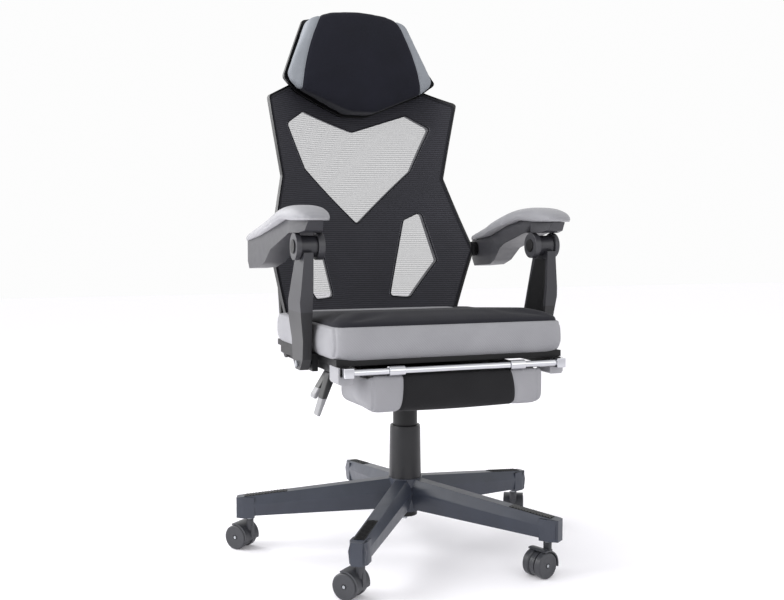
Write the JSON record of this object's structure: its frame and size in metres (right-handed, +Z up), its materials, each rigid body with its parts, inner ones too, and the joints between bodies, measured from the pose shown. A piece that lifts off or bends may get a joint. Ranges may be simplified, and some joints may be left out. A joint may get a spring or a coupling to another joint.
{
  "type": "gaming chair",
  "caption": "High-back reclining swivel chair with mesh back shell, headrest pillow, flip-up armrests on front posts, pull-out footrest and star base on casters.",
  "frame": {"origin": "centre of the column's axis on the floor plane under the casters", "axes": "+Z up along the column, -Y towards the front of the seat, +X to the right as seen from the front"},
  "size_m": [0.6966, 0.6679, 1.148],
  "materials": {
    "base_nylon": "fine-textured moulded nylon, dark slate",
    "insert_plastic": "ribbed matt black",
    "painted_steel": "satin black powder coat",
    "black_plastic": "fine-textured",
    "arm_plastic": "fine-textured charcoal",
    "bright_steel": "zinc-plated, satin",
    "chrome": "polished chrome plate",
    "pivot_steel": "satin black",
    "grey_fabric": "light grey woven upholstery",
    "black_fabric": "near-black woven upholstery",
    "mesh_fabric": "dark open knitted mesh",
    "arm_foam": "light grey soft-skin polyurethane",
    "board": "plain plywood",
    "caster_nylon": "moulded nylon, dark grey"
  },
  "bodies": {
    "base": {"base_star": "base_nylon", "tread_inserts": "insert_plastic", "column_tube": "painted_steel", "lower_dust_sleeve": "black_plastic"},
    "piston": {"piston_rod": "bright_steel", "thrust_bearing": "bright_steel"},
    "seat": {"gas_cylinder": "bright_steel", "upper_dust_sleeve": "black_plastic", "seat_pan": "black_plastic", "seat_cushion": "grey_fabric", "tilt_housing": "painted_steel", "housing_bolts": "bright_steel", "footrest_rails": "painted_steel", "recline_brackets": "painted_steel", "hinge_pins": "bright_steel"},
    "button": {"release_button": "black_plastic"},
    "height_lever": {"height_lever_rod": "bright_steel", "height_lever_paddle": "black_plastic"},
    "recline_lever": {"recline_lever_rod": "bright_steel", "recline_lever_paddle": "black_plastic"},
    "footrest_slide": {"slide_tubes": "bright_steel", "cross_bar": "chrome", "bar_end_blocks": "chrome"},
    "footrest_pad": {"footrest_board": "board", "footrest_cushion": "grey_fabric", "pad_hinges": "painted_steel"},
    "back": {"back_frame": "black_plastic", "back_mesh": "mesh_fabric", "back_uprights": "painted_steel", "arm_hinge_pins": "bright_steel", "headrest_shell": "black_plastic", "headrest_cushion": "black_fabric"},
    "arm_left": {"arm_pad_left": "arm_foam", "arm_shell_left": "arm_plastic", "arm_pivot_left": "pivot_steel"},
    "post_left": {"post_left": "arm_plastic"},
    "arm_right": {"arm_pad_right": "arm_foam", "arm_shell_right": "arm_plastic", "arm_pivot_right": "pivot_steel"},
    "post_right": {"post_right": "arm_plastic"},
    "caster_right_back": {"caster_right_back_hood": "caster_nylon", "caster_right_back_pins": "bright_steel"},
    "wheel_right_back_left": {"caster_right_back_wheel_left": "caster_nylon"},
    "wheel_right_back_right": {"caster_right_back_wheel_right": "caster_nylon"},
    "caster_back": {"caster_back_hood": "caster_nylon", "caster_back_pins": "bright_steel"},
    "wheel_back_left": {"caster_back_wheel_left": "caster_nylon"},
    "wheel_back_right": {"caster_back_wheel_right": "caster_nylon"},
    "caster_left": {"caster_left_hood": "caster_nylon", "caster_left_pins": "bright_steel"},
    "wheel_left_left": {"caster_left_wheel_left": "caster_nylon"},
    "wheel_left_right": {"caster_left_wheel_right": "caster_nylon"},
    "caster_front": {"caster_front_hood": "caster_nylon", "caster_front_pins": "bright_steel"},
    "wheel_front_left": {"caster_front_wheel_left": "caster_nylon"},
    "wheel_front_right": {"caster_front_wheel_right": "caster_nylon"},
    "caster_right": {"caster_right_hood": "caster_nylon", "caster_right_pins": "bright_steel"},
    "wheel_right_left": {"caster_right_wheel_left": "caster_nylon"},
    "wheel_right_right": {"caster_right_wheel_right": "caster_nylon"}
  },
  "joints": [
    {"name": "column_spin", "type": "hinge", "parent": "base", "child": "piston", "pos_m": [0, 0, 0.1], "axis": [0, 0, 1], "continuous": true},
    {"name": "seat_lift", "type": "slide", "parent": "piston", "child": "seat", "axis": [0, 0, 1], "range_m": [-0.03, 0.05]},
    {"name": "height_lever_lift", "type": "hinge", "parent": "seat", "child": "height_lever", "pos_m": [-0.03, -0.02, 0.377], "axis": [0, 1, 0], "range_deg": [0, 5.7], "stiffness_Nm_per_rad": 2, "springref_deg": -8.59},
    {"name": "button_press", "type": "slide", "parent": "seat", "child": "button", "axis": [0, 0, -1], "range_m": [0, 0.003], "stiffness_N_per_m": 1500, "springref_m": -0.002},
    {"name": "recline_lever_lift", "type": "hinge", "parent": "seat", "child": "recline_lever", "pos_m": [-0.03, -0.06, 0.377], "axis": [0, 1, 0], "range_deg": [0, 8], "stiffness_Nm_per_rad": 2, "springref_deg": -8.59},
    {"name": "footrest_extend", "type": "slide", "parent": "seat", "child": "footrest_slide", "axis": [0, -1, 0], "range_m": [0, 0.28]},
    {"name": "footrest_flip", "type": "hinge", "parent": "footrest_slide", "child": "footrest_pad", "pos_m": [0, -0.258, 0.404], "axis": [-1, 0, 0], "range_deg": [0, 180]},
    {"name": "recline", "type": "hinge", "parent": "seat", "child": "back", "pos_m": [0, 0.195, 0.395], "axis": [-1, 0, 0], "range_deg": [0, 40]},
    {"name": "arm_left_swing", "type": "hinge", "parent": "back", "child": "arm_left", "pos_m": [-0.25, 0.172, 0.613], "axis": [-1, 0, 0], "range_deg": [-40, 0]},
    {"name": "post_left_swing", "type": "hinge", "parent": "seat", "child": "post_left", "pos_m": [-0.25, -0.105, 0.405], "axis": [-1, 0, 0], "range_deg": [0, 40]},
    {"name": "arm_right_swing", "type": "hinge", "parent": "back", "child": "arm_right", "pos_m": [0.25, 0.172, 0.613], "axis": [-1, 0, 0], "range_deg": [-40, 0]},
    {"name": "post_right_swing", "type": "hinge", "parent": "seat", "child": "post_right", "pos_m": [0.25, -0.105, 0.405], "axis": [-1, 0, 0], "range_deg": [0, 40]},
    {"name": "swivel_right_back", "type": "hinge", "parent": "base", "child": "caster_right_back", "pos_m": [0.30434, 0.09889, 0.06], "axis": [0, 0, 1], "continuous": true},
    {"name": "roll_right_back_left", "type": "hinge", "parent": "caster_right_back", "child": "wheel_right_back_left", "pos_m": [0.31534, 0.11794, 0.025], "axis": [-0.866, 0.5, 0], "continuous": true},
    {"name": "roll_right_back_right", "type": "hinge", "parent": "caster_right_back", "child": "wheel_right_back_right", "pos_m": [0.31534, 0.11794, 0.025], "axis": [-0.866, 0.5, 0], "continuous": true},
    {"name": "swivel_back", "type": "hinge", "parent": "base", "child": "caster_back", "pos_m": [0, 0.32, 0.06], "axis": [0, 0, 1], "continuous": true},
    {"name": "roll_back_left", "type": "hinge", "parent": "caster_back", "child": "wheel_back_left", "pos_m": [-0.00752, 0.34067, 0.025], "axis": [-0.9397, -0.342, 0], "continuous": true},
    {"name": "roll_back_right", "type": "hinge", "parent": "caster_back", "child": "wheel_back_right", "pos_m": [-0.00752, 0.34067, 0.025], "axis": [-0.9397, -0.342, 0], "continuous": true},
    {"name": "swivel_left", "type": "hinge", "parent": "base", "child": "caster_left", "pos_m": [-0.30434, 0.09889, 0.06], "axis": [0, 0, 1], "continuous": true},
    {"name": "roll_left_left", "type": "hinge", "parent": "caster_left", "child": "wheel_left_left", "pos_m": [-0.31877, 0.11549, 0.025], "axis": [-0.7547, -0.6561, 0], "continuous": true},
    {"name": "roll_left_right", "type": "hinge", "parent": "caster_left", "child": "wheel_left_right", "pos_m": [-0.31877, 0.11549, 0.025], "axis": [-0.7547, -0.6561, 0], "continuous": true},
    {"name": "swivel_front", "type": "hinge", "parent": "base", "child": "caster_front", "pos_m": [-0.18809, -0.25888, 0.06], "axis": [0, 0, 1], "continuous": true},
    {"name": "roll_front_left", "type": "hinge", "parent": "caster_front", "child": "wheel_front_left", "pos_m": [-0.20223, -0.24203, 0.025], "axis": [-0.766, -0.6428, 0], "continuous": true},
    {"name": "roll_front_right", "type": "hinge", "parent": "caster_front", "child": "wheel_front_right", "pos_m": [-0.20223, -0.24203, 0.025], "axis": [-0.766, -0.6428, 0], "continuous": true},
    {"name": "swivel_right", "type": "hinge", "parent": "base", "child": "caster_right", "pos_m": [0.18809, -0.25888, 0.06], "axis": [0, 0, 1], "continuous": true},
    {"name": "roll_right_left", "type": "hinge", "parent": "caster_right", "child": "wheel_right_left", "pos_m": [0.16717, -0.26568, 0.025], "axis": [0.309, -0.9511, 0], "continuous": true},
    {"name": "roll_right_right", "type": "hinge", "parent": "caster_right", "child": "wheel_right_right", "pos_m": [0.16717, -0.26568, 0.025], "axis": [0.309, -0.9511, 0], "continuous": true}
  ],
  "couplings": [
    {"joint": "button_press", "follows": "height_lever_lift", "m_per_rad": 0.03},
    {"joint": "arm_left_swing", "follows": "recline", "ratio": -1},
    {"joint": "post_left_swing", "follows": "recline", "ratio": 1},
    {"joint": "arm_right_swing", "follows": "recline", "ratio": -1},
    {"joint": "post_right_swing", "follows": "recline", "ratio": 1}
  ]
}
